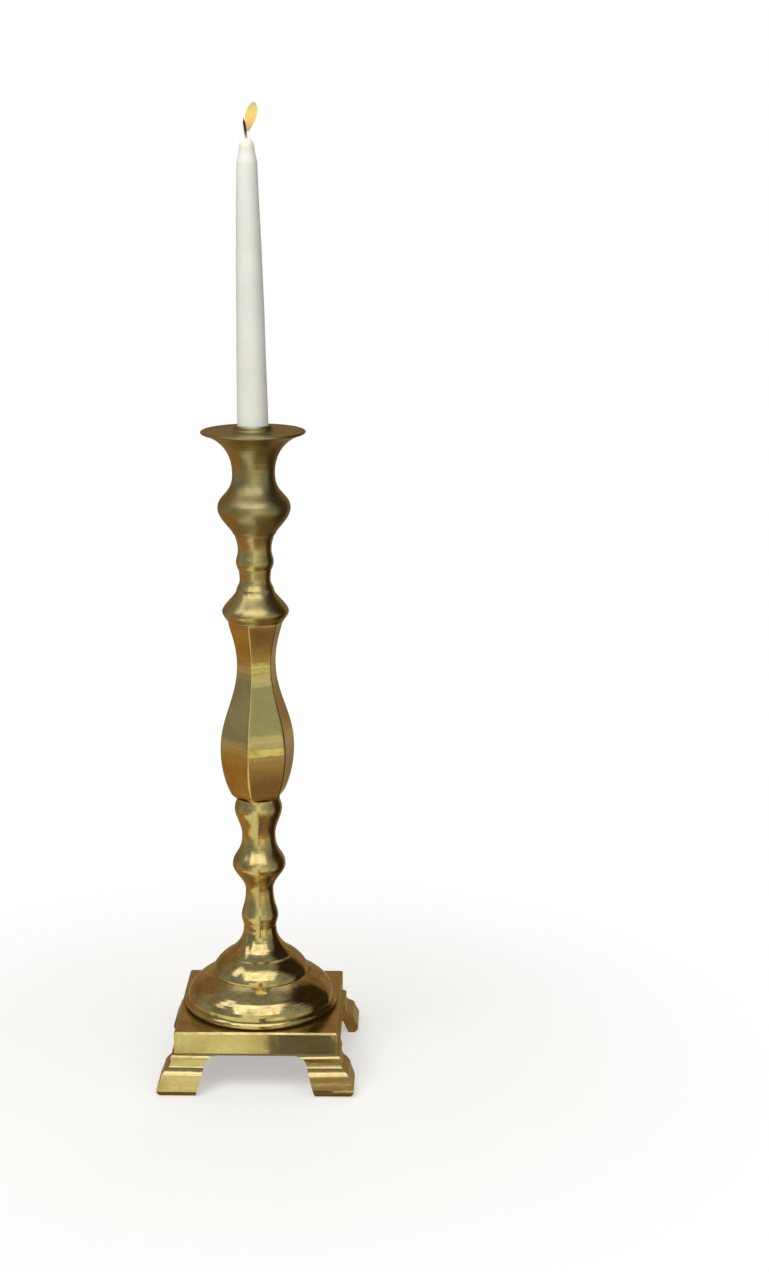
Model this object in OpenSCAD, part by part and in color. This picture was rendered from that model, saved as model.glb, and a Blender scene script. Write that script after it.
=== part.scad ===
// Altar candlestick: turned and faceted brass sections, stacked on a square plinth with four
// bracket feet and clamped together by a steel tie rod, with a tapered candle in the socket.
// Millimetres, +Z up, origin on the floor under the middle of the plinth.

/* [Plinth and feet] */
// Width of the square plinth across its flat bands
plinth_w = 116; // [110:1:130]
// Height of the plinth from the floor to its top plate
plinth_h = 44; // [40:0.5:50]
// Height of the flat band round the top of the plinth
band_h = 15.8; // [12:0.2:18]
// How far each toe stands out past the flat band
toe_flare = 12; // [8:0.5:15]
// Thickness of the plinth's cast wall
plinth_wall = 4; // [3:0.5:5]
// Width of the gap between two feet at the floor
foot_gap_w = 85; // [75:1:88]
// Width of the gap between two feet just below its rounded top corners
foot_gap_top_w = 73; // [66:1:74]
// Radius of the gap's rounded top corners
foot_gap_corner_r = 7; // [4:0.5:9]

/* [Base dome] */
// Height of the stepped dome on the plinth
dome_h = 59.5; // [50:0.5:70]
// Radius of the rounded rim that sits on the plinth
dome_rim_r = 55.5; // [54:0.25:56]
// Radius of the lower cushion where it leaves the rim
cushion_r = 53.2; // [52:0.1:53.5]
// Radius of the groove between the two cushions
cushion_groove_r = 34.8; // [33:0.1:36]
// Radius of the trumpet foot that rises into the neck
trumpet_r = 23.4; // [22:0.1:24]
// Radius of the dome's neck
dome_neck_r = 11.6; // [11:0.1:12.5]
// Thickness of the dome's cast wall
dome_wall = 3.2; // [2.5:0.1:4]

/* [Lower stem] */
// Height of the lower stem
lower_stem_h = 98; // [90:1:110]
// Radius of the ring near the bottom of the lower stem
lower_ring_r = 13.3; // [12.5:0.1:14.5]
// Radius of the slender neck under the knop
lower_neck_r = 10; // [9.5:0.1:11]
// Radius of the knop in the middle of the lower stem
lower_knop_r = 19.1; // [17:0.1:21]
// Radius of the neck above the knop
lower_waist_r = 12; // [10.5:0.1:13]
// Radius of the collar at the top of the lower stem
lower_collar_r = 17.05; // [16:0.05:18]

/* [Faceted baluster] */
// Height of the six-sided baluster
baluster_h = 130; // [120:1:140]
// Radius of the baluster's belly, across its corners
belly_r = 27.5; // [24:0.1:30]
// Radius of the baluster's waist, across its corners
waist_r = 14.3; // [13.5:0.1:17]
// Radius of the baluster's top, across its corners
baluster_top_r = 20.2; // [18:0.1:21]
// Turn of the baluster's first flat from the front of the plinth, in degrees
facet_turn = 19.5; // [-30:0.5:30]

/* [Upper knop and collar] */
// Height of the upper knop with its neck
upper_knop_h = 37; // [32:0.5:42]
// Radius of the upper knop's sharp edge
upper_knop_r = 23.5; // [21:0.1:25]
// Radius of the neck above the upper knop
upper_neck_r = 10.8; // [10:0.1:12]
// Height of the upper collar
upper_collar_h = 25; // [22:0.5:30]
// Radius of the ring on the upper collar
upper_ring_r = 13.25; // [12.5:0.05:14]
// Radius of the upper collar's waist
upper_waist_r = 11.8; // [10.5:0.1:12.5]

/* [Socket cup and drip pan] */
// Height from the cup's seat to the widest line of the drip pan
cup_h = 71; // [64:0.5:78]
// Radius of the cup's round bulb
bulb_r = 25.5; // [23:0.1:27]
// Radius of the cup's neck above the bulb
cup_neck_r = 14.85; // [14.5:0.05:17]
// Radius of the drip pan
pan_r = 36.4; // [33:0.1:40]
// Height of the nozzle's lip above the widest line of the drip pan
lip_h = 4.8; // [3:0.1:6]
// Outer radius of the nozzle's lip
lip_r = 13.4; // [13:0.1:14.5]
// Diameter of the bore that takes the candle
socket_d = 22.3; // [22:0.1:23.5]
// Depth of the bore that takes the candle
socket_depth = 28; // [20:1:30]

/* [Candle] */
// Diameter of the candle at its foot
candle_d = 21.7; // [19:0.1:21.7]
// Length of the candle, foot to tip
candle_l = 220; // [60:5:300]
// Diameter of the candle just below its burnt tip
candle_top_d = 13.2; // [10:0.1:18]
// Diameter of the wick
wick_d = 2.2; // [1.2:0.1:2.4]
// Length of wick that stands out of the wax
wick_out = 13; // [6:0.5:16]
// Lean of the standing wick, in degrees
wick_lean = 7; // [0:1:20]

/* [Tie rod and fasteners] */
// Diameter of the tie rod
rod_d = 6; // [5:0.5:6]
// Outer diameter of the plain washer under the plinth
washer_d = 34; // [20:1:40]
// Thickness of the plain washer
washer_t = 2; // [1.5:0.1:2.5]
// Thickness of the spring washer
spring_washer_t = 1.5; // [1:0.1:1.6]
// Width of the nut across its flats
nut_af = 10; // [9:0.5:12]
// Height of the nut
nut_h = 5; // [4:0.5:5]

/* [Hidden] */
$fn = 96;

// How far a curve keeps upright at a station, as a share of the way to the next one
SHARP = 0;
SLIGHT = 0.15;
TIGHT = 0.28;
EASY = 0.4;
ROUND = 0.5;
FULL = 0.6;
LONG = 0.85;
CURVE_STEPS = 14;
MOULDING_STEPS = 5;

// Overrun that lets a cut break cleanly through a face
CUT = 1;
// Radial and end clearance of the sections' spigots in their recesses
FIT_GAP = 0.15;
SEAT_GAP = 0.4;
// Clearance of the candle over the floor of its socket
CANDLE_GAP = 0.3;

SPIGOT_R = 7;
SPIGOT_H = 5;
ROD_HOLE_R = rod_d / 2 + 0.3;
// Depth of the cup's tapped hole, and how far the rod reaches up it
TAPPED_DEPTH = 20;
ROD_GRIP = 18;
// How far the rod stands out below the nut
ROD_TAIL = 3;
ROD_CHAMFER = 0.6;
LOCK_WASHER_D = 12;
SPRING_GAP = 1.2;

PLATE_T = 4;
BAND_CHAMFER = 1.2;
TOE_INNER_INSET = 7;

dome_z = plinth_h;
lower_stem_z = dome_z + dome_h;
baluster_z = lower_stem_z + lower_stem_h;
upper_knop_z = baluster_z + baluster_h;
upper_collar_z = upper_knop_z + upper_knop_h;
cup_z = upper_collar_z + upper_collar_h;
lip_top = cup_h + lip_h;
candle_z = cup_z + lip_top - socket_depth + CANDLE_GAP;
band_bottom = plinth_h - band_h;
washer_z = plinth_h - PLATE_T - washer_t;
spring_washer_z = washer_z - spring_washer_t;
nut_z = spring_washer_z - nut_h;
rod_bottom = nut_z - ROD_TAIL;
rod_top = cup_z + ROD_GRIP;

BRASS = "#b5923f";
BRASS_PALE = "#c9a95a";
STEEL = "#8d9094";
WAX = "#eef0ea";
COTTON = "#4a3526";

// ---------------------------------------------------------------- curves

// Point at share t of the curve from a to d that heads for b and arrives from c
function bezier(a, b, c, d, t) =
    pow(1 - t, 3) * a + 3 * t * pow(1 - t, 2) * b + 3 * t * t * (1 - t) * c + pow(t, 3) * d;

// A station is [share of the height, radius, bend below, bend above]. Points between two stations
// are [radius, height]: upright at a station that has a bend, a sharp corner at one without.
function station_point(s, height) = [s[1], s[0] * height];
function rise(a, b, height) = [0, (b[0] - a[0]) * height];
function stretch(a, b, height, t) =
    bezier(
        station_point(a, height),
        station_point(a, height) + a[3] * rise(a, b, height),
        station_point(b, height) - b[2] * rise(a, b, height),
        station_point(b, height),
        t
    );

// Outline of a piece from its bottom station to its top one, with this many steps to a curve
function outline(stations, height, steps = CURVE_STEPS) = concat(
    [station_point(stations[0], height)],
    [
        for (i = [0 : len(stations) - 2])
            let (
                a = stations[i],
                b = stations[i + 1],
                count = a[3] == SHARP && b[2] == SHARP ? 1 : steps
            )
            for (k = [1 : count]) stretch(a, b, height, k / count)
    ]
);

// Solid turned about Z from an outline, closed along the axis
module turned(points) {
    last = points[len(points) - 1];
    rotate_extrude() polygon(concat([[0, points[0][1]]], points, [[0, last[1]]]));
}

// Upright bar whose two sides follow an outline, running along Y
module moulded_bar(points, length) {
    mirrored = [for (i = [len(points) - 1 : -1 : 0]) [-points[i][0], points[i][1]]];
    rotate([90, 0, 0])
        linear_extrude(height = length, center = true) polygon(concat(points, mirrored));
}

// ---------------------------------------------------------------- joints between sections

// Spigot under a section, which drops into the recess of the section below
module spigot() {
    translate([0, 0, -SPIGOT_H]) cylinder(r = SPIGOT_R, h = SPIGOT_H + CUT);
}

// Recess in the top of a section of the given height
module recess(height) {
    translate([0, 0, height - SPIGOT_H - SEAT_GAP])
        cylinder(r = SPIGOT_R + FIT_GAP, h = SPIGOT_H + SEAT_GAP + CUT);
}

// Clearance hole for the tie rod through a section of the given height
module rod_hole(height) {
    translate([0, 0, -SPIGOT_H - CUT]) cylinder(r = ROD_HOLE_R, h = height + SPIGOT_H + 2 * CUT);
}

// Section with a spigot below, a recess above and the rod's hole right through
module stacked(z, height) {
    translate([0, 0, z]) difference() {
        union() {
            children();
            spigot();
        }
        recess(height);
        rod_hole(height);
    }
}

// ---------------------------------------------------------------- plinth

// Outer face of the plinth: rounded toe, quarter round, cove, fillet, flat band, chamfer
plinth_half = plinth_w / 2;
plinth_face = [
    [0, plinth_half + 0.75 * toe_flare, SHARP, SHARP],
    [0.105, plinth_half + toe_flare, FULL, TIGHT],
    [0.29, plinth_half + 0.76 * toe_flare, SLIGHT, ROUND],
    [0.435, plinth_half + 0.32 * toe_flare, SHARP, SHARP],
    [0.56, plinth_half + 0.18 * toe_flare, FULL, SHARP],
    [0.57, plinth_half + 0.23 * toe_flare, SHARP, ROUND],
    [band_bottom / plinth_h, plinth_half, SHARP, SHARP],
    [1 - BAND_CHAMFER / plinth_h, plinth_half, SHARP, SHARP],
    [1, plinth_half - BAND_CHAMFER, SHARP, SHARP]
];

// Inner face of the cast wall, from below the floor up to the underside of the plate
plinth_inner_face = [
    [plinth_half + toe_flare - TOE_INNER_INSET, -CUT],
    [plinth_half - plinth_wall + 0.1 * toe_flare, 0.45 * plinth_h],
    [plinth_half - plinth_wall, band_bottom],
    [plinth_half - plinth_wall, plinth_h - PLATE_T]
];

// Half of the gap between two feet: slanting side, rounded corner, flat top under the band
gap_slope = (foot_gap_w - foot_gap_top_w) / 2 / (band_bottom - foot_gap_corner_r);
gap_corner = [foot_gap_top_w / 2 - gap_slope * foot_gap_corner_r, band_bottom - CUT];
gap_side_end = gap_corner + foot_gap_corner_r * [gap_slope, -1];
gap_top_end = gap_corner - foot_gap_corner_r * [1, 0];
gap_half = concat(
    [[foot_gap_w / 2 + gap_slope * CUT, -CUT]],
    [
        for (k = [0 : MOULDING_STEPS])
            bezier(
                gap_side_end, (gap_side_end + 2 * gap_corner) / 3,
                (gap_top_end + 2 * gap_corner) / 3, gap_top_end, k / MOULDING_STEPS
            )
    ]
);

// Square body with mitred corners: the same outline carried along both sides
module mitred(points, length) {
    intersection() {
        moulded_bar(points, length);
        rotate([0, 0, 90]) moulded_bar(points, length);
    }
}

module plinth() {
    across = plinth_w + 4 * toe_flare;
    color(BRASS) difference() {
        mitred(outline(plinth_face, plinth_h, MOULDING_STEPS), across);
        mitred(plinth_inner_face, across);
        moulded_bar(gap_half, across);
        rotate([0, 0, 90]) moulded_bar(gap_half, across);
        cylinder(r = ROD_HOLE_R, h = plinth_h + CUT);
    }
}

// ---------------------------------------------------------------- turned sections

// Rim, lower cushion, upper cushion, trumpet foot and neck
dome_face = [
    [0, dome_rim_r - 1.5, SHARP, SHARP],
    [0.047, dome_rim_r, FULL, FULL],
    [0.1, cushion_r, SHARP, SHARP],
    [0.11, cushion_r, SHARP, FULL],
    [0.415, cushion_groove_r + 1, SHARP, SHARP],
    [0.42, cushion_groove_r, SHARP, ROUND],
    [0.645, trumpet_r + 1.7, SHARP, SHARP],
    [0.66, trumpet_r, SHARP, SHARP],
    [0.975, dome_neck_r + 0.3, FULL, SHARP],
    [1, dome_neck_r, SHARP, SHARP]
];

// Hollow under the dome, which follows the outside at the wall's thickness
dome_hollow = [
    [0, -CUT],
    [cushion_r - dome_wall, -CUT],
    [cushion_r - dome_wall, 0.11 * dome_h],
    [cushion_groove_r - dome_wall, 0.38 * dome_h],
    [trumpet_r - dome_wall, 0.6 * dome_h],
    [ROD_HOLE_R + dome_wall, 0.74 * dome_h],
    [0, 0.74 * dome_h]
];

module base_dome() {
    color(BRASS) translate([0, 0, dome_z]) difference() {
        turned(outline(dome_face, dome_h));
        rotate_extrude() polygon(dome_hollow);
        recess(dome_h);
        rod_hole(dome_h);
    }
}

// Ring, slender neck, knop, waist and collar
lower_stem_face = [
    [0, dome_neck_r, SHARP, SHARP],
    [0.025, dome_neck_r + 0.6, SHARP, TIGHT],
    [0.082, lower_ring_r, ROUND, TIGHT],
    [0.286, lower_neck_r, FULL, EASY],
    [0.48, lower_knop_r, TIGHT, EASY],
    [0.708, lower_waist_r, FULL, EASY],
    [0.914, lower_collar_r, TIGHT, ROUND],
    [0.99, lower_collar_r - 1.6, TIGHT, SHARP],
    [1, lower_collar_r - 1.6, SHARP, SHARP]
];

module lower_stem() {
    color(BRASS) stacked(lower_stem_z, lower_stem_h)
        turned(outline(lower_stem_face, lower_stem_h));
}

// Small seat, belly, waist and flared top, measured across the corners
baluster_face = [
    [0, belly_r - 11, SHARP, SHARP],
    [0.025, belly_r - 7.6, SHARP, SHARP],
    [0.281, belly_r, FULL, EASY],
    [0.76, waist_r, EASY, ROUND],
    [1, baluster_top_r, SLIGHT, SHARP]
];

// Six flats: three bars of the same outline, crossed at sixty degrees
module faceted_baluster() {
    corners = outline(baluster_face, baluster_h);
    flats = [for (p = corners) [p[0] * cos(30), p[1]]];
    color(BRASS) stacked(baluster_z, baluster_h)
        intersection_for(side = [0 : 2])
            rotate([0, 0, facet_turn - 90 + 60 * side]) moulded_bar(flats, 3 * belly_r);
}

// Sharp-edged knop, step and neck
upper_knop_face = [
    [0, baluster_top_r - 0.2, SHARP, SLIGHT],
    [0.176, upper_knop_r, EASY, TIGHT],
    [0.608, upper_neck_r + 2.3, TIGHT, SLIGHT],
    [0.797, upper_neck_r, ROUND, TIGHT],
    [1, upper_neck_r + 0.6, TIGHT, SHARP]
];

module upper_knop() {
    color(BRASS) stacked(upper_knop_z, upper_knop_h)
        turned(outline(upper_knop_face, upper_knop_h));
}

// Ring, waist and flare under the cup
upper_collar_face = [
    [0, upper_ring_r - 1.15, SHARP, SLIGHT],
    [0.192, upper_ring_r, ROUND, EASY],
    [0.544, upper_waist_r, ROUND, ROUND],
    [1, upper_waist_r + 2.3, SLIGHT, SHARP]
];

module upper_collar() {
    color(BRASS) stacked(upper_collar_z, upper_collar_h)
        turned(outline(upper_collar_face, upper_collar_h));
}

// ---------------------------------------------------------------- socket cup

// Bulb, neck and flare up to the rounded edge of the drip pan
cup_face = [
    [0, cup_neck_r + 0.15, SHARP, SLIGHT],
    [0.2535, bulb_r, EASY, EASY],
    [0.5915, cup_neck_r, FULL, LONG],
    [0.98, pan_r - 1.8, SHARP, SHARP],
    [1, pan_r, FULL, SHARP]
];

// Top of the pan: rolled edge, shallow dish, then the cove up to the nozzle's lip
dish_r = 27;
dish_z = cup_h + 0.4;
pan_top = concat(
    [for (k = [1 : CURVE_STEPS]) let (a = 90 * k / CURVE_STEPS)
        [pan_r - 2 + 2 * cos(a), cup_h + 1.2 * sin(a)]],
    [[dish_r, dish_z]],
    [
        for (k = [0 : CURVE_STEPS])
            bezier(
                [lip_r + 4, dish_z], [lip_r + 1, dish_z], [lip_r, dish_z + 1],
                [lip_r, cup_h + 0.8 * lip_h], k / CURVE_STEPS
            )
    ],
    [[lip_r - 0.6, lip_top]]
);

module socket_cup() {
    color(BRASS_PALE) translate([0, 0, cup_z]) difference() {
        union() {
            turned(concat(outline(cup_face, cup_h), pan_top));
            spigot();
        }
        translate([0, 0, lip_top - socket_depth]) cylinder(d = socket_d, h = socket_depth + CUT);
        translate([0, 0, -SPIGOT_H - CUT]) cylinder(d = rod_d, h = TAPPED_DEPTH + SPIGOT_H + CUT);
    }
}

// ---------------------------------------------------------------- tie rod and fasteners

module tie_rod() {
    rod_face = [
        [rod_d / 2 - ROD_CHAMFER, rod_bottom],
        [rod_d / 2, rod_bottom + ROD_CHAMFER],
        [rod_d / 2, rod_top - ROD_CHAMFER],
        [rod_d / 2 - ROD_CHAMFER, rod_top]
    ];
    color(STEEL) turned(rod_face);
}

module rod_washer() {
    color(BRASS) translate([0, 0, washer_z]) difference() {
        cylinder(d = washer_d, h = washer_t);
        translate([0, 0, -CUT]) cylinder(r = ROD_HOLE_R, h = washer_t + 2 * CUT);
    }
}

// Split ring that keeps the nut from working loose
module spring_washer() {
    color(STEEL) translate([0, 0, spring_washer_z]) difference() {
        cylinder(d = LOCK_WASHER_D, h = spring_washer_t);
        translate([0, 0, -CUT]) cylinder(r = ROD_HOLE_R, h = spring_washer_t + 2 * CUT);
        translate([0, -SPRING_GAP / 2, -CUT])
            cube([LOCK_WASHER_D, SPRING_GAP, spring_washer_t + 2 * CUT]);
    }
}

module rod_nut() {
    color(STEEL) translate([0, 0, nut_z]) difference() {
        cylinder(d = nut_af / cos(30), h = nut_h, $fn = 6);
        translate([0, 0, -CUT]) cylinder(d = rod_d, h = nut_h + 2 * CUT);
    }
}

// ---------------------------------------------------------------- candle

TIP_R = 2.2;
// How far the wick stands straight before it leans
WICK_ELBOW = 0.4;
candle_face = [
    [0, candle_d / 2 - 1, SHARP, SHARP],
    [0.005, candle_d / 2, SHARP, ROUND],
    [0.93, candle_top_d / 2 + 0.4, SHARP, SHARP],
    [0.975, candle_top_d / 2 - 1.3, TIGHT, ROUND],
    [1, TIP_R, SHARP, SHARP]
];

module candle() {
    color(WAX) translate([0, 0, candle_z]) difference() {
        turned(outline(candle_face, candle_l));
        translate([0, 0, -CUT]) cylinder(d = wick_d, h = candle_l + 2 * CUT);
    }
}

// Straight inside the wax, leaning to the left above it
module wick() {
    color(COTTON) translate([0, 0, candle_z]) union() {
        cylinder(d = wick_d, h = candle_l + WICK_ELBOW);
        translate([0, 0, candle_l]) rotate([0, -wick_lean, 0]) cylinder(d = wick_d, h = wick_out);
    }
}

plinth();
base_dome();
lower_stem();
faceted_baluster();
upper_knop();
upper_collar();
socket_cup();
tie_rod();
rod_washer();
spring_washer();
rod_nut();
candle();
wick();
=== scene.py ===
"""Altar candlestick: a clamped stack of brass sections on a footed plinth, with a lit taper.

The CAD frame gives every place and size. Lengths are metres, angles are degrees.
"""

import math

import bpy
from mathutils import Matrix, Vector

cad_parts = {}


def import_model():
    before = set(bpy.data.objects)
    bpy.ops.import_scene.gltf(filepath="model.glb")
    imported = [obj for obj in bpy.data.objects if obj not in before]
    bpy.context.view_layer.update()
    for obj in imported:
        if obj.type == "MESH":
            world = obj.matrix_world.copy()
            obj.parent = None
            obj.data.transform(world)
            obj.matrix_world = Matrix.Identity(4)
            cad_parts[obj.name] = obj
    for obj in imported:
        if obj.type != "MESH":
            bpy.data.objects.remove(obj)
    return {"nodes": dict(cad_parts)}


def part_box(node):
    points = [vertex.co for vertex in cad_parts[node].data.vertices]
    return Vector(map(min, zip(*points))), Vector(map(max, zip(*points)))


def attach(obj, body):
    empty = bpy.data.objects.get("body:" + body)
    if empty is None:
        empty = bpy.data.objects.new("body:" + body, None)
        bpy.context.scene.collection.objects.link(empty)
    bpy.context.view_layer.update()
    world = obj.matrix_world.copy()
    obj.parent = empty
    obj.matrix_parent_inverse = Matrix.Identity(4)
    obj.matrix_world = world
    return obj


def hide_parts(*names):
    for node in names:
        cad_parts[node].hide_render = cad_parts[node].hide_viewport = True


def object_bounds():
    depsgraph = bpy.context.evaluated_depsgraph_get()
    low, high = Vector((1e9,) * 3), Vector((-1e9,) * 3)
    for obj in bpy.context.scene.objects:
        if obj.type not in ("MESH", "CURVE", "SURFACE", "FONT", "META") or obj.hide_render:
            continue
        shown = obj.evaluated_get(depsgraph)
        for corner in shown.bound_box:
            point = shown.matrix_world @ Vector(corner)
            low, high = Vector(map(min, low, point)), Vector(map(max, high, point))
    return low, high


MM = 0.001

# Camera
CAMERA_PLACE = (0.1145, -1.4514, 0.6713)
CAMERA_TURN = (76.4, 0.0, 0.94)
CAMERA_LENS = 60.0

# Stage
FLOOR_RADIUS = 8.0
FLOOR_PALE = (0.90, 0.89, 0.87, 1.0)
BACKDROP_WHITE = (1.0, 1.0, 1.0, 1.0)
CARD_NEAR = -0.075
CARD_FAR = -0.50
CARD_STAND = -0.45

# Fits of the stacked sections
SPIGOT_R = 7 * MM
SPIGOT_H = 5 * MM
FIT_GAP = 0.15 * MM
SEAT_GAP = 0.4 * MM
ROD_HOLE_R = 3.3 * MM
ROD_THREAD = 18 * MM
THREAD_DEPTH = 0.55 * MM
WICK_HOLE_R = 1.1 * MM
# Sideways drift of the candle for each unit of height
CANDLE_LEAN = 0.0085
POOL_DEPTH = 1 * MM

# Flame, from the top of the wick
FLAME_BELOW = 9.0 * MM
FLAME_ABOVE = 10.5 * MM
FLAME_R = 4.6 * MM
FLAME_BACK = 1.2 * MM

# Facets of the baluster
CORNER_R = 2.4 * MM
RIM_SOFT = 0.5 * MM
CORNER_STEPS = 6
FLAT_STEPS = 8


# ---------------------------------------------------------------- shader building


def add(tree, kind, inputs=None, **settings):
    """A new node; inputs maps a socket's name or number to a value or to another socket."""
    node = tree.nodes.new(kind)
    for key, value in settings.items():
        setattr(node, key, value)
    for name, value in (inputs or {}).items():
        if isinstance(value, bpy.types.NodeSocket):
            tree.links.new(value, node.inputs[name])
        else:
            node.inputs[name].default_value = value
    return node


def maths(tree, operation, first, second=0.0, clamp=False):
    """The result of one Math node."""
    return add(tree, "ShaderNodeMath", {0: first, 1: second}, operation=operation, use_clamp=clamp).outputs[0]


def remap(tree, value, low, high, to_low=0.0, to_high=1.0, kind="SMOOTHSTEP"):
    """value between low and high, as a number between to_low and to_high."""
    inputs = {"Value": value, "From Min": low, "From Max": high, "To Min": to_low, "To Max": to_high}
    return add(tree, "ShaderNodeMapRange", inputs, interpolation_type=kind).outputs[0]


def noise(tree, place, scale, detail=3.0, rough=0.5, warp=0.0):
    """A noise value from 0 to 1 with features about 1/scale metres apart."""
    inputs = {"Vector": place, "Scale": scale, "Detail": detail, "Roughness": rough, "Distortion": warp}
    return add(tree, "ShaderNodeTexNoise", inputs).outputs[0]


def mix(tree, share, first, second, blend="MIX"):
    """Two colours mixed; share 0 is the first and 1 the second."""
    node = add(tree, "ShaderNodeMix", data_type="RGBA", blend_type=blend)
    for socket, value in ((0, share), (6, first), (7, second)):
        if isinstance(value, bpy.types.NodeSocket):
            tree.links.new(value, node.inputs[socket])
        else:
            node.inputs[socket].default_value = value
    return node.outputs[2]


def bump(tree, height, depth, under=None):
    """A bump of that depth in metres over the normal of another bump."""
    inputs = {"Height": height, "Distance": depth, "Strength": 1.0}
    if under is not None:
        inputs["Normal"] = under
    return add(tree, "ShaderNodeBump", inputs).outputs[0]


def new_tree(name):
    """An empty node material, its tree and its output node."""
    material = bpy.data.materials.new(name)
    material.use_nodes = True
    material.node_tree.nodes.clear()
    return material, material.node_tree, add(material.node_tree, "ShaderNodeOutputMaterial")


def place_of(tree):
    """Object coordinates, and the two that follow a lathe: distance from the axis and height."""
    place = add(tree, "ShaderNodeTexCoord").outputs["Object"]
    parts = add(tree, "ShaderNodeSeparateXYZ", {0: place})
    flat = add(tree, "ShaderNodeCombineXYZ", {0: parts.outputs[0], 1: parts.outputs[1]}).outputs[0]
    radius = add(tree, "ShaderNodeVectorMath", {0: flat}, operation="LENGTH").outputs["Value"]
    lathe = add(tree, "ShaderNodeCombineXYZ", {0: radius, 1: parts.outputs[2]}).outputs[0]
    return place, lathe, parts


# ---------------------------------------------------------------- materials


def brass_material(name, gold, tarnish, shine, marks, wave, grain):
    """Aged polished brass. shine is its roughness, marks is lathe, brushed or cast, wave and grain in mm."""
    material, tree, out = new_tree(name)
    place, lathe, _ = place_of(tree)
    cloud = noise(tree, place, 38.0, 4.0, 0.55, 0.4)
    fine = noise(tree, place, 210.0, 5.0, 0.62, 0.8)
    specks = noise(tree, place, 900.0, 2.0, 0.5)
    # Painted shade, with patina: the AO mask below darkens and dulls the brass in crevices and between
    # sections, where shade falls.
    crevice = add(tree, "ShaderNodeAmbientOcclusion", {"Distance": 5 * MM}, samples=4).outputs["AO"]
    patina_and_painted_shade = remap(tree, crevice, 0.35, 0.92, 1.0, 0.0)
    patch = remap(tree, cloud, 0.46, 0.72)
    spots = maths(tree, "MULTIPLY", remap(tree, fine, 0.60, 0.70), remap(tree, specks, 0.42, 0.6))
    colour = mix(tree, maths(tree, "MULTIPLY", patch, 0.55), gold, tarnish)
    colour = mix(tree, maths(tree, "MULTIPLY", spots, 0.60), colour, (0.22, 0.12, 0.035, 1.0))
    # Painted shade and patina: deep brown in the hollows that the AO mask finds.
    colour = mix(tree, maths(tree, "MULTIPLY", patina_and_painted_shade, 0.72), colour, (0.16, 0.085, 0.022, 1.0))
    if marks == "lathe":
        lines = noise(tree, lathe, 2600.0, 3.0, 0.7)
    elif marks == "brushed":
        stretched = add(tree, "ShaderNodeMapping", {"Vector": place, "Scale": (1.0, 1.0, 0.035)}).outputs[0]
        lines = noise(tree, stretched, 1500.0, 3.0, 0.65)
    else:
        lines = noise(tree, place, 1300.0, 4.0, 0.7)
    slanted = {"Vector": place, "Rotation": (0.5, 0.3, 0.9), "Scale": (1.0, 1.0, 0.06)}
    scratch = add(tree, "ShaderNodeMapping", slanted).outputs[0]
    scratches = remap(tree, noise(tree, scratch, 700.0, 2.0, 0.5, 0.6), 0.66, 0.72)
    gloss = maths(tree, "MULTIPLY", lines, 0.10)
    gloss = maths(tree, "ADD", gloss, maths(tree, "MULTIPLY", patch, 0.07))
    gloss = maths(tree, "ADD", gloss, maths(tree, "MULTIPLY", spots, 0.18))
    gloss = maths(tree, "ADD", gloss, maths(tree, "MULTIPLY", patina_and_painted_shade, 0.25))
    gloss = maths(tree, "ADD", gloss, maths(tree, "MULTIPLY", scratches, 0.06))
    gloss = maths(tree, "ADD", gloss, shine - 0.05, clamp=True)
    swell = noise(tree, place, 62.0, 2.0, 0.4)
    dents = noise(tree, place, 190.0, 2.0, 0.5)
    normal = bump(tree, swell, wave * MM)
    normal = bump(tree, dents, wave * 0.11 * MM, normal)
    normal = bump(tree, lines, grain * MM, normal)
    normal = bump(tree, scratches, -0.006 * MM, normal)
    inputs = {"Base Color": colour, "Metallic": 1.0, "Roughness": gloss, "Normal": normal}
    shader = add(tree, "ShaderNodeBsdfPrincipled", inputs)
    tree.links.new(shader.outputs[0], out.inputs["Surface"])
    return material


def steel_material():
    """Zinc-plated steel with a faint yellow cast and dull patches."""
    material, tree, out = new_tree("steel_zinc")
    place, _, _ = place_of(tree)
    cloud = remap(tree, noise(tree, place, 240.0, 4.0, 0.6, 0.5), 0.42, 0.68)
    grain = noise(tree, place, 3200.0, 3.0, 0.7)
    # Painted shade, with dirt: the AO mask below darkens the steel in its recesses, where shade falls.
    crevice = add(tree, "ShaderNodeAmbientOcclusion", {"Distance": 1.5 * MM}, samples=4).outputs["AO"]
    dirt_and_painted_shade = remap(tree, crevice, 0.3, 0.9, 0.8, 0.0)
    colour = mix(tree, cloud, (0.62, 0.62, 0.60, 1.0), (0.47, 0.46, 0.41, 1.0))
    colour = mix(tree, dirt_and_painted_shade, colour, (0.10, 0.085, 0.07, 1.0))
    gloss = remap(tree, maths(tree, "ADD", maths(tree, "MULTIPLY", cloud, 0.5), grain), 0.2, 1.3, 0.24, 0.52)
    normal = bump(tree, grain, 0.01 * MM)
    inputs = {"Base Color": colour, "Metallic": 1.0, "Roughness": gloss, "Normal": normal}
    shader = add(tree, "ShaderNodeBsdfPrincipled", inputs)
    tree.links.new(shader.outputs[0], out.inputs["Surface"])
    return material


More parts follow.
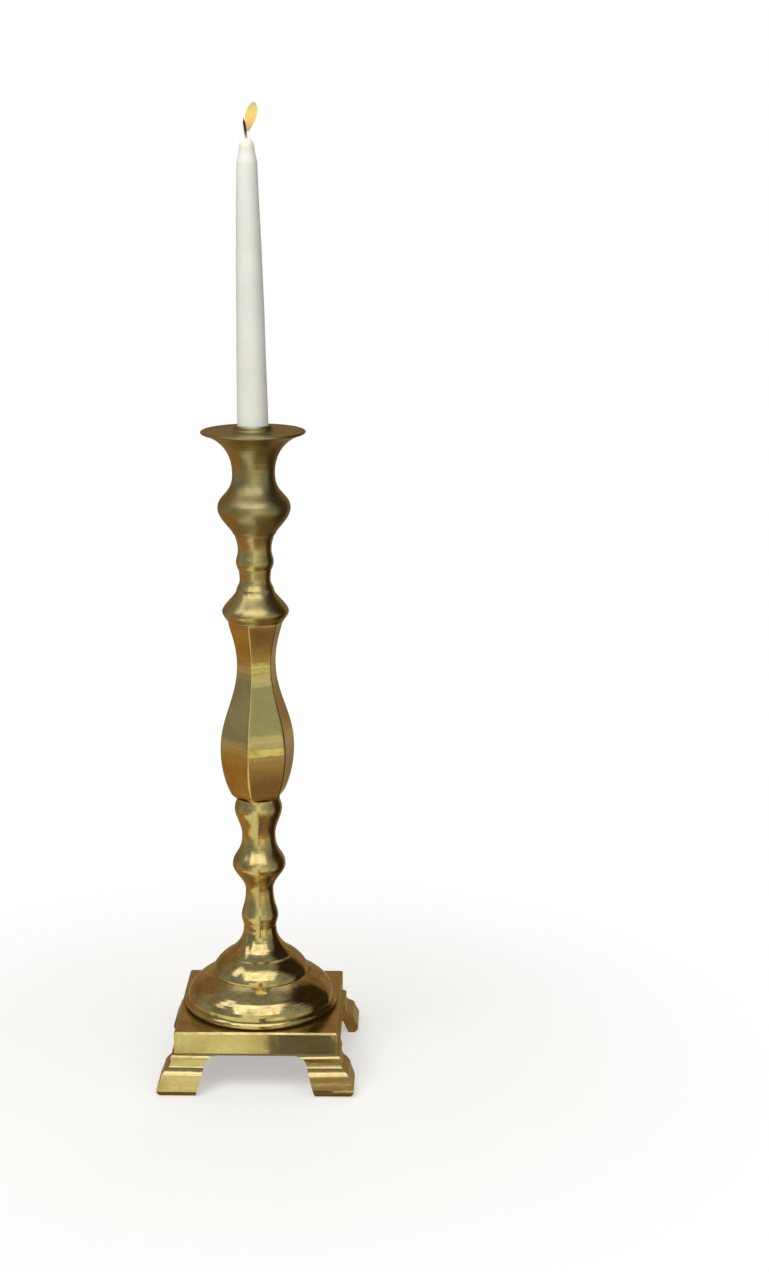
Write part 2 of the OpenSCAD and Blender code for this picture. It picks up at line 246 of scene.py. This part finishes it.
def wax_material(top):
    """Cool white candle wax: light goes into it, with a soft bloom and faint drawn streaks."""
    material, tree, out = new_tree("candle_wax")
    place, _, parts = place_of(tree)
    streaks = add(tree, "ShaderNodeMapping", {"Vector": place, "Scale": (1.0, 1.0, 0.08)}).outputs[0]
    drawn = noise(tree, streaks, 260.0, 3.0, 0.5)
    bloom = noise(tree, place, 55.0, 4.0, 0.6, 0.3)
    tiny = noise(tree, place, 1400.0, 2.0, 0.5)
    colour = mix(tree, remap(tree, bloom, 0.35, 0.7), (0.80, 0.82, 0.83, 1.0), (0.85, 0.86, 0.86, 1.0))
    colour = mix(tree, remap(tree, drawn, 0.5, 0.8, 0.0, 0.35), colour, (0.76, 0.79, 0.81, 1.0))
    # Painted light: towards the top the wax is tinted warm, standing in for the flame's glow; the same mask
    # makes the melted top glossier.
    melt_and_flame_glow = remap(tree, parts.outputs[2], top - 9 * MM, top - 1 * MM)
    colour = mix(tree, maths(tree, "MULTIPLY", melt_and_flame_glow, 0.6), colour, (0.86, 0.78, 0.62, 1.0))
    gloss = maths(tree, "MULTIPLY", bloom, 0.2)
    gloss = maths(tree, "ADD", gloss, 0.30)
    gloss = maths(tree, "SUBTRACT", gloss, maths(tree, "MULTIPLY", melt_and_flame_glow, 0.2), clamp=True)
    normal = bump(tree, bloom, 0.25 * MM)
    normal = bump(tree, drawn, 0.05 * MM, normal)
    normal = bump(tree, tiny, 0.008 * MM, normal)
    inputs = {"Base Color": colour, "Roughness": gloss, "Normal": normal, "Subsurface Weight": 0.8,
              "Subsurface Radius": (1.0, 0.85, 0.65), "Subsurface Scale": 4 * MM, "IOR": 1.44}
    shader = add(tree, "ShaderNodeBsdfPrincipled", inputs, subsurface_method="RANDOM_WALK")
    tree.links.new(shader.outputs[0], out.inputs["Surface"])
    return material


def wick_material(top):
    """Cotton braid, waxed and pale at its foot and charred to its tip."""
    material, tree, out = new_tree("wick_cotton")
    place, _, parts = place_of(tree)
    fuzz = noise(tree, place, 2400.0, 4.0, 0.7)
    height = maths(tree, "MULTIPLY", maths(tree, "SUBTRACT", fuzz, 0.5), 4 * MM)
    height = maths(tree, "ADD", height, parts.outputs[2])
    charred = remap(tree, height, top - 13 * MM, top - 8 * MM)
    # Painted light: a dark red near the burnt tip stands in for the glowing ember.
    painted_ember_glow = remap(tree, height, top - 3.5 * MM, top - 1 * MM)
    colour = mix(tree, charred, (0.62, 0.56, 0.45, 1.0), (0.035, 0.018, 0.014, 1.0))
    colour = mix(tree, maths(tree, "MULTIPLY", painted_ember_glow, 0.6), colour, (0.30, 0.05, 0.02, 1.0))
    normal = bump(tree, fuzz, 0.12 * MM)
    inputs = {"Base Color": colour, "Roughness": 0.85, "Normal": normal}
    shader = add(tree, "ShaderNodeBsdfPrincipled", inputs)
    tree.links.new(shader.outputs[0], out.inputs["Surface"])
    return material


def flame_material(low, high):
    """Candle flame: dim and brown at its root, deep yellow in its body, greyer at its tip."""
    material, tree, out = new_tree("candle_flame_glow")
    place, _, parts = place_of(tree)
    lick = noise(tree, place, 160.0, 2.0, 0.5)
    height = remap(tree, parts.outputs[2], low, high, kind="LINEAR")
    height = maths(tree, "ADD", height, maths(tree, "MULTIPLY", maths(tree, "SUBTRACT", lick, 0.5), 0.12))
    ramp = add(tree, "ShaderNodeValToRGB", {0: height})
    stops = ((0.0, (0.40, 0.24, 0.16, 1)), (0.18, (0.78, 0.46, 0.22, 1)), (0.34, (0.95, 0.60, 0.22, 1)),
             (0.62, (0.98, 0.72, 0.19, 1)), (0.85, (0.82, 0.62, 0.22, 1)), (1.0, (0.55, 0.47, 0.28, 1)))
    paint_ramp(ramp, stops)
    shader = add(tree, "ShaderNodeEmission", {"Color": ramp.outputs[0], "Strength": 1.0})
    tree.links.new(shader.outputs[0], out.inputs["Surface"])
    return material


def paint_ramp(ramp, stops):
    """Gives a Color Ramp node these (place, colour) stops."""
    elements = ramp.color_ramp.elements
    while len(elements) < len(stops):
        elements.new(1.0)
    for element, (spot, colour) in zip(elements, stops):
        element.position = spot
        element.color = colour


# ---------------------------------------------------------------- stage and light


def direction(azimuth, elevation):
    """The unit vector towards azimuth (0 is -Y, 90 is +X) and elevation."""
    a, e = math.radians(azimuth), math.radians(elevation)
    return Vector((math.sin(a) * math.cos(e), -math.cos(a) * math.cos(e), math.sin(e)))


def along(tree, ray, axis):
    """How far the ray points along an axis, as a cosine."""
    inputs = {0: ray, 1: tuple(axis)}
    return add(tree, "ShaderNodeVectorMath", inputs, operation="DOT_PRODUCT").outputs["Value"]


def window(tree, ray, azimuth, elevation, wide, high, soft):
    """1 in a soft-edged rectangle of the surroundings and 0 outside; sizes are half sides, as sines."""
    centre = direction(azimuth, elevation)
    right = direction(azimuth + 90.0, 0.0)
    up = centre.cross(right)
    share = None
    for axis, half in ((right, wide), (up, high)):
        off = maths(tree, "ABSOLUTE", along(tree, ray, axis))
        part = remap(tree, off, half + soft, half - soft)
        share = part if share is None else maths(tree, "MULTIPLY", share, part)
    ahead = maths(tree, "GREATER_THAN", along(tree, ray, centre), 0.0)
    return maths(tree, "MULTIPLY", share, ahead)


# What the brass reflects, over a ramp from floor to ceiling; a later row covers an earlier one.
# azimuth, elevation, half width, half height, softness, colour
SURROUNDINGS = (
    # brown room behind
    (180.0, 22.0, 0.85, 0.55, 0.20, (0.25, 0.165, 0.080, 1)),
    # warm floor on the left
    (-95.0, -38.0, 0.55, 0.38, 0.18, (0.30, 0.165, 0.050, 1)),
    # cool wall in front, with a lighter foot and a bright upright
    (14.0, 14.0, 0.66, 0.30, 0.12, (0.31, 0.350, 0.260, 1)),
    (26.0, -2.0, 0.34, 0.09, 0.06, (0.62, 0.600, 0.430, 1)),
    (3.0, 2.0, 0.20, 0.42, 0.12, (0.74, 0.690, 0.470, 1)),
    # dark side on the right
    (112.0, 5.0, 0.40, 0.85, 0.10, (0.030, 0.020, 0.010, 1)),
    # sunlit edge of the floor and the dark line over it
    (28.0, -10.0, 0.30, 0.015, 0.015, (0.26, 0.240, 0.100, 1)),
    (24.0, -14.0, 0.30, 0.05, 0.02, (0.84, 0.840, 0.400, 1)),
    # main, left and back windows
    (-2.0, 50.0, 0.55, 0.30, 0.06, (1.30, 1.240, 1.040, 1)),
    (-74.0, 46.0, 0.12, 0.22, 0.04, (1.20, 1.130, 0.980, 1)),
    (180.0, 66.0, 0.35, 0.16, 0.10, (0.60, 0.560, 0.460, 1)),
)


def build_world():
    """Surroundings that the brass reflects: a dim warm studio with soft windows; the camera sees white."""
    world = bpy.data.worlds.new("studio")
    bpy.context.scene.world = world
    world.use_nodes = True
    tree = world.node_tree
    tree.nodes.clear()
    ray = add(tree, "ShaderNodeTexCoord").outputs["Generated"]
    level = add(tree, "ShaderNodeSeparateXYZ", {0: ray}).outputs[2]
    ramp = add(tree, "ShaderNodeValToRGB", {0: remap(tree, level, -1.0, 1.0, kind="LINEAR")})
    stops = (
        (0.00, (0.16, 0.100, 0.040, 1)),
        (0.15, (0.25, 0.155, 0.070, 1)),
        (0.33, (0.33, 0.250, 0.130, 1)),
        (0.40, (0.42, 0.370, 0.220, 1)),
        (0.45, (0.21, 0.210, 0.170, 1)),
        (0.75, (0.19, 0.200, 0.170, 1)),
        (1.00, (0.22, 0.220, 0.190, 1)),
    )
    paint_ramp(ramp, stops)
    colour = ramp.outputs[0]
    for azimuth, elevation, wide, high, soft, tone in SURROUNDINGS:
        colour = mix(tree, window(tree, ray, azimuth, elevation, wide, high, soft), colour, tone)
    broad = remap(tree, noise(tree, ray, 2.6, 4.0, 0.55, 0.6), 0.30, 0.70, 0.62, 1.32, "LINEAR")
    spotty = remap(tree, noise(tree, ray, 11.0, 3.0, 0.6, 0.3), 0.35, 0.65, 0.84, 1.16, "LINEAR")
    uneven = maths(tree, "MULTIPLY", broad, spotty)
    grey = add(tree, "ShaderNodeCombineXYZ", {0: uneven, 1: uneven, 2: uneven}).outputs[0]
    colour = mix(tree, 1.0, colour, grey, "MULTIPLY")
    seen = add(tree, "ShaderNodeLightPath").outputs["Is Camera Ray"]
    colour = mix(tree, seen, colour, BACKDROP_WHITE)
    background = add(tree, "ShaderNodeBackground", {"Color": colour, "Strength": 1.0})
    out = add(tree, "ShaderNodeOutputWorld")
    tree.links.new(background.outputs[0], out.inputs["Surface"])


def build_floor():
    """A pale disc that turns to the backdrop's white away from the object."""
    mesh = bpy.data.meshes.new("floor")
    steps = 96
    rim = [direction(360.0 * i / steps, 0.0) * FLOOR_RADIUS for i in range(steps)]
    mesh.from_pydata([tuple(p) for p in rim], [], [tuple(range(steps))])
    floor = bpy.data.objects.new("floor", mesh)
    bpy.context.scene.collection.objects.link(floor)
    material, tree, out = new_tree("floor_pale")
    place, lathe, _ = place_of(tree)
    radius = add(tree, "ShaderNodeSeparateXYZ", {0: lathe}).outputs[0]
    paper = noise(tree, place, 30.0, 3.0, 0.5)
    pale = mix(tree, paper, FLOOR_PALE, (0.92, 0.915, 0.90, 1.0))
    matt = add(tree, "ShaderNodeBsdfDiffuse", {"Color": pale})
    glow = add(tree, "ShaderNodeEmission", {"Color": BACKDROP_WHITE, "Strength": 1.0})
    far = remap(tree, radius, 0.10, 0.42, 0.42, 1.0)
    both = add(tree, "ShaderNodeMixShader", {0: far, 1: matt.outputs[0], 2: glow.outputs[0]})
    tree.links.new(both.outputs[0], out.inputs["Surface"])
    mesh.materials.append(material)
    floor.visible_glossy = False
    floor.visible_diffuse = False
    floor.visible_shadow = False


def area_light(name, azimuth, elevation, distance, size, watts, colour, aim):
    """A square soft light that faces a point of the object."""
    data = bpy.data.lights.new(name, "AREA")
    data.size = size
    data.energy = watts
    data.color = colour
    light = bpy.data.objects.new(name, data)
    away = direction(azimuth, elevation)
    light.location = Vector(aim) + away * distance
    light.rotation_euler = away.to_track_quat("Z", "Y").to_euler()
    light.visible_glossy = False
    bpy.context.scene.collection.objects.link(light)


def build_lights(middle):
    """Soft light from the front left, a fill from the right and one from behind."""
    area_light("key", -35.0, 48.0, 1.6, 1.1, 17.0, (0.96, 0.98, 1.0), middle)
    area_light("fill", 60.0, 35.0, 1.8, 1.2, 8.0, (0.94, 0.96, 1.0), middle)
    area_light("back", 175.0, 45.0, 1.8, 1.2, 8.0, (0.95, 0.97, 1.0), middle)


def build_camera():
    """A little above the drip pan and to the right, looking down at the base."""
    data = bpy.data.cameras.new("camera")
    data.lens = CAMERA_LENS
    data.clip_end = 60.0
    camera = bpy.data.objects.new("camera", data)
    camera.location = CAMERA_PLACE
    camera.rotation_euler = [math.radians(a) for a in CAMERA_TURN]
    bpy.context.scene.collection.objects.link(camera)
    bpy.context.scene.camera = camera


# ---------------------------------------------------------------- pieces


def finish_mesh(name, points, faces, material, sharp=35.0):
    """A smooth-shaded mesh object whose edges above that angle stay crisp."""
    mesh = bpy.data.meshes.new(name)
    mesh.from_pydata([tuple(p) for p in points], [], faces)
    mesh.polygons.foreach_set("use_smooth", [True] * len(mesh.polygons))
    mesh.set_sharp_from_angle(angle=math.radians(sharp))
    mesh.materials.append(material)
    piece = bpy.data.objects.new(name, mesh)
    bpy.context.scene.collection.objects.link(piece)
    return piece


def ring_faces(count, around, joined=False):
    """Quads between rings of points; joined also closes the last ring onto the first."""
    faces = []
    for i in range(count if joined else count - 1):
        a, b = i * around, (i + 1) % count * around
        faces += [(a + k, a + (k + 1) % around, b + (k + 1) % around, b + k) for k in range(around)]
    return faces


def turns(around):
    """That many angles round a full turn."""
    return [2 * math.pi * k / around for k in range(around)]


def end_caps(count, around):
    """The faces that close the first and the last of a stack of rings."""
    last = (count - 1) * around
    return [tuple(range(around))[::-1], tuple(last + k for k in range(around))]


def stand_for(piece, node, body):
    """The piece rides on that body in place of the CAD node of that name."""
    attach(piece, body)
    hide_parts(node)


def outline_of(node, least):
    """(height, radius) at each level of a CAD node's outside, where it is wider than least."""
    levels = {}
    for vertex in node.data.vertices:
        radius = math.hypot(vertex.co.x, vertex.co.y)
        level = round(vertex.co.z, 6)
        levels[level] = max(radius, levels.get(level, 0.0))
    return [(z, r) for z, r in sorted(levels.items()) if r > least]


def radius_at(outline, z):
    """Radius of an outline at a height, straight between its levels."""
    for (z0, r0), (z1, r1) in zip(outline, outline[1:]):
        if z0 <= z <= z1:
            return r0 + (r1 - r0) * (z - z0) / (z1 - z0)
    return outline[-1][1]


def hexagon(radius, turn, z, corner):
    """A ring of points round a hexagon with rounded corners, radius measured to its sharp corners."""
    ring = []
    centre = radius - corner / math.cos(math.radians(30))
    for side in range(6):
        middle = turn + 60.0 * side
        for step in range(CORNER_STEPS + 1):
            angle = math.radians(middle - 30.0 + 60.0 * step / CORNER_STEPS)
            base = math.radians(middle)
            x = centre * math.cos(base) + corner * math.cos(angle)
            y = centre * math.sin(base) + corner * math.sin(angle)
            ring.append(Vector((x, y, z)))
        start = ring[-1]
        following = math.radians(middle + 60.0)
        face = math.radians(middle + 30.0)
        end = Vector((centre * math.cos(following), centre * math.sin(following), z))
        end += corner * Vector((math.cos(face), math.sin(face), 0.0))
        ring += [start.lerp(end, step / FLAT_STEPS) for step in range(1, FLAT_STEPS)]
    return ring


def round_ring(radius, turn, z):
    """A circle with as many points as hexagon() gives."""
    around = 6 * (CORNER_STEPS + FLAT_STEPS)
    first = math.radians(turn - 30.0)
    angles = [first + 2 * math.pi * k / around for k in range(around)]
    return [Vector((radius * math.cos(a), radius * math.sin(a), z)) for a in angles]


def build_baluster(node, material):
    """Six brushed flats that meet in softly rounded corners, with the seat's recess, hole and spigot."""
    outline = outline_of(node, 12 * MM)
    low, high = outline[0][0], outline[-1][0]
    belly = max(outline, key=lambda level: level[1])
    corner = max(node.data.vertices, key=lambda v: (round(math.hypot(v.co.x, v.co.y), 5), v.co.x)).co
    turn = math.degrees(math.atan2(corner.y, corner.x))
    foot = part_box("faceted_baluster")[0].z
    steps = 150
    rings = [round_ring(SPIGOT_R, turn, foot), round_ring(SPIGOT_R, turn, low)]
    for step in range(steps + 1):
        z = low + (high - low) * step / steps
        radius = radius_at(outline, z)
        easing = RIM_SOFT * max(0.0, 1 - (z - low) / RIM_SOFT, 1 - (high - z) / RIM_SOFT) ** 2
        rings.append(hexagon(radius - easing, turn, z, CORNER_R * radius / belly[1]))
    recess = high - SPIGOT_H - SEAT_GAP
    rings += [round_ring(SPIGOT_R + FIT_GAP, turn, high), round_ring(SPIGOT_R + FIT_GAP, turn, recess)]
    rings += [round_ring(ROD_HOLE_R, turn, recess), round_ring(ROD_HOLE_R, turn, foot)]
    points = [p for ring in rings for p in ring]
    faces = ring_faces(len(rings), len(rings[0]), joined=True)
    piece = finish_mesh("baluster_casting", points, faces, material)
    stand_for(piece, "faceted_baluster", "candlestick")


def leaned(points):
    """Points of the candle after it has leaned a little to the left in its loose socket."""
    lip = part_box("socket_cup")[1].z
    return [Vector((p.x - CANDLE_LEAN * (p.z - lip), p.y, p.z)) for p in points]


def build_candle(node, material):
    """Hand-drawn taper: a faint unevenness in its sides and a shallow melted pool round the wick."""
    low, high = (corner.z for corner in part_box("candle"))
    outline = outline_of(node, 2 * MM)
    around = 96
    top = high - POOL_DEPTH
    heights = [low + 0.05 * MM * k for k in range(5)]
    heights += [low + 0.3 * MM + (top - low - 0.3 * MM) * k / 240 for k in range(241)]
    hole = [Vector((WICK_HOLE_R * math.cos(a), WICK_HOLE_R * math.sin(a), 0.0)) for a in turns(around)]
    rings = [[p + Vector((0.0, 0.0, low)) for p in hole]]
    for z in heights:
        ring = []
        free = min(1.0, max(0.0, (z - low - 30 * MM) / (30 * MM)))
        for a in turns(around):
            uneven = math.sin(2 * a + 31 * z) * 0.10 + math.sin(3 * a - 57 * z + 1.3) * 0.06
            uneven += math.sin(47 * z) * 0.07 + math.sin(a + 118 * z) * 0.05
            radius = radius_at(outline, z) - 0.12 * MM * free + uneven * free * MM
            ring.append(Vector((radius * math.cos(a), radius * math.sin(a), z)))
        rings.append(ring)
    rim = radius_at(outline, top)
    pool = ((0.86, 0.55), (0.70, 0.85), (0.56, 0.55), (0.44, -0.2), (0.32, -0.75), (0.22, -0.95))
    for share, rise in pool:
        radius = max(rim * share, WICK_HOLE_R)
        ring = []
        for a in turns(around):
            lift = rise * MM + 0.12 * MM * math.sin(2 * a + 0.8)
            ring.append(Vector((radius * math.cos(a), radius * math.sin(a), top + lift)))
        rings.append(ring)
    rings.append([p + Vector((0.0, 0.0, top - POOL_DEPTH)) for p in hole])
    points = leaned([p for ring in rings for p in ring])
    piece = finish_mesh("taper_candle", points, ring_faces(len(rings), around, joined=True), material, 50.0)
    stand_for(piece, "candle", "candle")


def wick_line(z, elbow, lean, curl):
    """Centre of the wick at a height: straight in the wax, then leaning and curling over a little."""
    out = max(0.0, z - elbow)
    return Vector((-math.tan(lean) * out - curl * out * out, 0.0, z))


def build_wick(material):
    """Three twisted cotton strands from the candle's foot to the burnt end."""
    low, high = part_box("wick")
    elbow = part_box("candle")[1].z
    thick = high.x * 0.5
    reach = -low.x - high.x
    lean = math.atan(reach / (high.z - elbow)) * 0.75
    curl = (reach - math.tan(lean) * (high.z - elbow)) / (high.z - elbow) ** 2
    around, rise = 8, 0.5 * MM
    points, faces = [], []
    count = int((high.z - low.z) / rise)
    for strand in range(3):
        base = len(points)
        for step in range(count + 1):
            z = low.z + (high.z - low.z - 0.1 * MM) * step / count
            fade = min(1.0, max(0.25, (high.z - z) / (2.5 * MM)))
            phase = 2 * math.pi * (z / (3.2 * MM) + strand / 3)
            centre = wick_line(z, elbow, lean, curl)
            centre += Vector((math.cos(phase), math.sin(phase), 0.0)) * thick * 0.9 * fade
            for a in turns(around):
                points.append(centre + Vector((math.cos(a), math.sin(a), 0.0)) * thick * 0.95 * fade)
        strand_faces = ring_faces(count + 1, around) + end_caps(count + 1, around)
        faces += [tuple(base + i for i in face) for face in strand_faces]
    piece = finish_mesh("wick_braid", leaned(points), faces, material)
    stand_for(piece, "wick", "candle")


def build_flame():
    """Rounded flame beside the top of the wick, blown a little to the right."""
    wick_low, wick_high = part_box("wick")
    low = wick_high.z - FLAME_BELOW
    high = wick_high.z + FLAME_ABOVE
    start = wick_low.x + wick_high.x
    around, steps = 32, 40
    points = []
    for step in range(steps + 1):
        share = step / steps
        swell = math.sin(math.pi * share ** 1.1) ** 0.6 * (0.62 + 0.4 * share)
        radius = FLAME_R * swell + 0.02 * MM
        x = start + 2.6 * MM + 4.4 * MM * share
        z = low + (high - low) * share
        for a in turns(around):
            y = FLAME_BACK + 0.8 * radius * math.sin(a)
            points.append(Vector((x + radius * math.cos(a), y, z)))
    faces = ring_faces(steps + 1, around) + end_caps(steps + 1, around)
    piece = finish_mesh("candle_flame", leaned(points), faces, flame_material(low, high))
    piece.visible_shadow = False
    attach(piece, "candle")
    data = bpy.data.lights.new("flame_light", "POINT")
    data.energy = 0.004
    data.color = (1.0, 0.62, 0.25)
    data.shadow_soft_size = 4 * MM
    light = bpy.data.objects.new("flame_light", data)
    light.location = leaned([Vector((start + 3 * MM, FLAME_BACK, low + 11 * MM))])[0]
    bpy.context.scene.collection.objects.link(light)
    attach(light, "candle")


def build_rod(material):
    """Tie rod with a rolled thread over its lower end and its tapped upper end."""
    low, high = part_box("tie_rod")
    radius = high.x
    around, pitch, rise = 40, 1.0 * MM, 0.1 * MM
    heights = []
    z = low.z
    while z < high.z - rise / 2:
        heights.append(z)
        threaded = z < low.z + ROD_THREAD or z > high.z - ROD_THREAD
        z += rise if threaded else 4 * MM
    heights.append(high.z)
    rings = []
    for z in heights:
        ends = min(z - low.z, high.z - z)
        threaded = 1.0 if ends <= ROD_THREAD else 0.0
        chamfer = max(0.0, 0.6 * MM - ends)
        ring = []
        for a in turns(around):
            phase = (z / pitch - a / (2 * math.pi)) % 1.0
            groove = THREAD_DEPTH * threaded * (1 - abs(2 * phase - 1))
            cut = radius - max(chamfer, groove)
            ring.append(Vector((math.cos(a), math.sin(a), 0.0)) * cut + Vector((0, 0, z)))
        rings.append(ring)
    points = [p for ring in rings for p in ring]
    faces = ring_faces(len(rings), around) + end_caps(len(rings), around)
    piece = finish_mesh("threaded_rod", points, faces, material, 50.0)
    stand_for(piece, "tie_rod", "candlestick")


def soften(node, width, angle=30.0):
    """Rounds a CAD node's hard edges by that width, as casting and polishing leave them."""
    mesh = node.data
    if mesh.has_custom_normals:
        mesh.attributes.remove(mesh.attributes["custom_normal"])
    mesh.polygons.foreach_set("use_smooth", [True] * len(mesh.polygons))
    weld = node.modifiers.new("weld", "WELD")
    weld.merge_threshold = 0.001 * MM
    bevel = node.modifiers.new("soft_edges", "BEVEL")
    bevel.width = width
    bevel.segments = 3
    bevel.limit_method = "ANGLE"
    bevel.angle_limit = math.radians(angle)
    bevel.harden_normals = True


def dress(node, material):
    """Gives a CAD node its material."""
    for slot in node.material_slots:
        slot.material = material


def build_card(name, corners, colour):
    """A glowing card near the object that only the polished brass sees."""
    mesh = bpy.data.meshes.new(name)
    mesh.from_pydata(corners, [], [(0, 1, 2, 3)])
    material, tree, out = new_tree(name)
    place = add(tree, "ShaderNodeTexCoord").outputs["Object"]
    shaded = [part * 0.7 for part in colour[:3]] + [1.0]
    patchy = mix(tree, remap(tree, noise(tree, place, 24.0, 3.0), 0.35, 0.65), colour, shaded)
    glow = add(tree, "ShaderNodeEmission", {"Color": patchy, "Strength": 1.0})
    tree.links.new(glow.outputs[0], out.inputs["Surface"])
    mesh.materials.append(material)
    card = bpy.data.objects.new(name, mesh)
    for ray in ("camera", "diffuse", "transmission", "shadow", "volume_scatter"):
        setattr(card, "visible_" + ray, False)
    bpy.context.scene.collection.objects.link(card)


def floor_card(name, left, right, colour):
    """A card that lies on the floor in front of the plinth."""
    near, far, z = CARD_NEAR, CARD_FAR, 0.2 * MM
    build_card(name, [(left, far, z), (right, far, z), (right, near, z), (left, near, z)], colour)


def standing_card(name, left, right, low, high, colour):
    """A card that stands in front of the object, facing it."""
    y = CARD_STAND
    build_card(name, [(left, y, low), (left, y, high), (right, y, high), (right, y, low)], colour)


def build_cards():
    """Splits the plinth's front into a bright left and a darker right."""
    floor_card("sunlit_card", -0.30, 0.004, (0.80, 0.80, 0.50, 1.0))
    floor_card("shade_card", 0.004, 0.055, (0.13, 0.12, 0.10, 1.0))
    standing_card("left_card", -0.20, -0.01, 0.0, 0.22, (0.85, 0.84, 0.58, 1.0))
    standing_card("right_card", 0.0, 0.075, 0.0, 0.16, (0.30, 0.19, 0.10, 1.0))


def build_materials():
    """The material of each CAD node, by the node's name."""
    gold = (0.83, 0.68, 0.35, 1.0)
    # Painted shade: the knop and cup take darker, more olive copies of the brass tint, standing in for the
    # dimmer reflections up the stem.
    knop_shaded_tint = (0.74, 0.62, 0.33, 1.0)
    cup_shaded_tint = (0.56, 0.50, 0.30, 1.0)
    dull = (0.48, 0.34, 0.14, 1.0)
    dome = brass_material("brass_dome", gold, dull, 0.10, "lathe", 0.55, 0.004)
    turned = brass_material("brass_turned", gold, dull, 0.20, "lathe", 0.40, 0.006)
    # The knop and cup get the darker tints above, which are painted shade.
    knop = brass_material("brass_knop", knop_shaded_tint, dull, 0.27, "lathe", 0.45, 0.008)
    cup = brass_material("brass_cup", cup_shaded_tint, dull, 0.33, "lathe", 0.45, 0.010)
    brushed = brass_material("brass_brushed", gold, dull, 0.15, "brushed", 0.30, 0.006)
    cast = brass_material("brass_cast", gold, dull, 0.14, "cast", 0.45, 0.006)
    steel = steel_material()
    wax = wax_material(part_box("candle")[1].z)
    cotton = wick_material(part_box("wick")[1].z)
    return {
        "plinth": cast, "base_dome": dome, "lower_stem": turned, "faceted_baluster": brushed,
        "upper_knop": knop, "upper_collar": knop, "socket_cup": cup, "rod_washer": cast,
        "tie_rod": steel, "spring_washer": steel, "rod_nut": steel, "candle": wax, "wick": cotton,
    }


def main():
    """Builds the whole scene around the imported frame."""
    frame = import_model()
    cad_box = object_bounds()
    nodes = frame["nodes"]
    bpy.context.scene.view_settings.view_transform = "Standard"
    build_camera()
    middle = (cad_box[0] + cad_box[1]) / 2
    build_world()
    build_floor()
    build_lights(middle)
    build_cards()
    materials = build_materials()
    for name, material in materials.items():
        dress(nodes[name], material)
    soften(nodes["plinth"], 0.7 * MM)
    soften(nodes["rod_nut"], 0.35 * MM)
    soften(nodes["rod_washer"], 0.25 * MM)
    soften(nodes["spring_washer"], 0.15 * MM)
    build_baluster(nodes["faceted_baluster"], materials["faceted_baluster"])
    build_rod(materials["tie_rod"])
    build_candle(nodes["candle"], materials["candle"])
    build_wick(materials["wick"])
    build_flame()


main()
